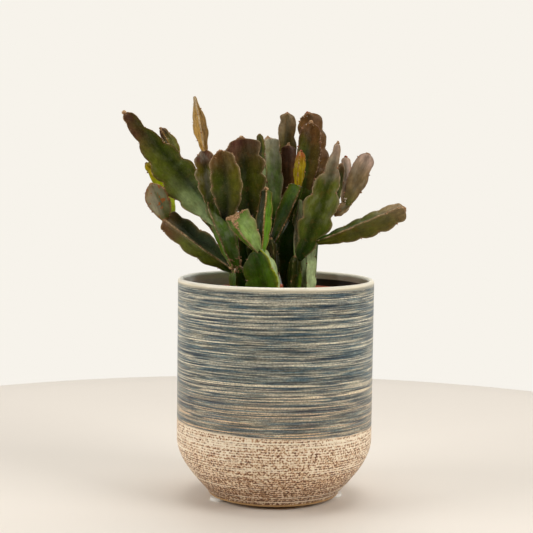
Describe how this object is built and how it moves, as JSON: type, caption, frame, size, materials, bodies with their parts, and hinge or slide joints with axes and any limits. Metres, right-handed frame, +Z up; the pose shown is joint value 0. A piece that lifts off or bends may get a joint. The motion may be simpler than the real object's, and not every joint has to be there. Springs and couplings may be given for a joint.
{
  "type": "potted mistletoe cactus",
  "caption": "Epiphytic cactus with flat and three-winged crenate stems, rooted in a plastic nursery pot inside a round-footed ceramic cover pot.",
  "frame": {"origin": "middle of the whole object's box, on the plane that the pads stand on", "axes": "+Z up, the longest extent; the front, as in the picture, looks along -Y; +X to the right"},
  "size_m": [0.191, 0.145, 0.2742],
  "materials": {
    "glazed_ceramic": "glazed ceramic, brushed blue-grey and cream streaks above, crawled cream glaze over brown clay below",
    "white_felt": "matt felt",
    "terracotta_plastic": "moulded, matt",
    "potting_soil": "loose dark peat with bark and white grit",
    "green_stem": "satin waxy plant skin, green going bronze at the tips",
    "bronze_stem": "satin waxy plant skin, olive brown with darker tops"
  },
  "bodies": {
    "root": {"pot": "glazed_ceramic", "pad_left": "white_felt", "pad_right": "white_felt", "pad_back": "white_felt", "nursery_pot": "terracotta_plastic", "soil": "potting_soil", "stem_long_left": "green_stem", "stem_low_left": "bronze_stem", "stem_front": "green_stem", "stem_centre": "bronze_stem", "stem_centre_grey": "bronze_stem", "stem_slant": "green_stem", "stem_right": "bronze_stem", "stem_upright": "bronze_stem", "stem_tall_right": "bronze_stem", "stem_tall": "bronze_stem", "stem_side_left": "green_stem", "stem_side_right": "bronze_stem", "stem_inner": "bronze_stem", "stem_back_left": "bronze_stem", "stem_back_middle": "green_stem", "stem_back_right": "bronze_stem"}
  },
  "joints": []
}
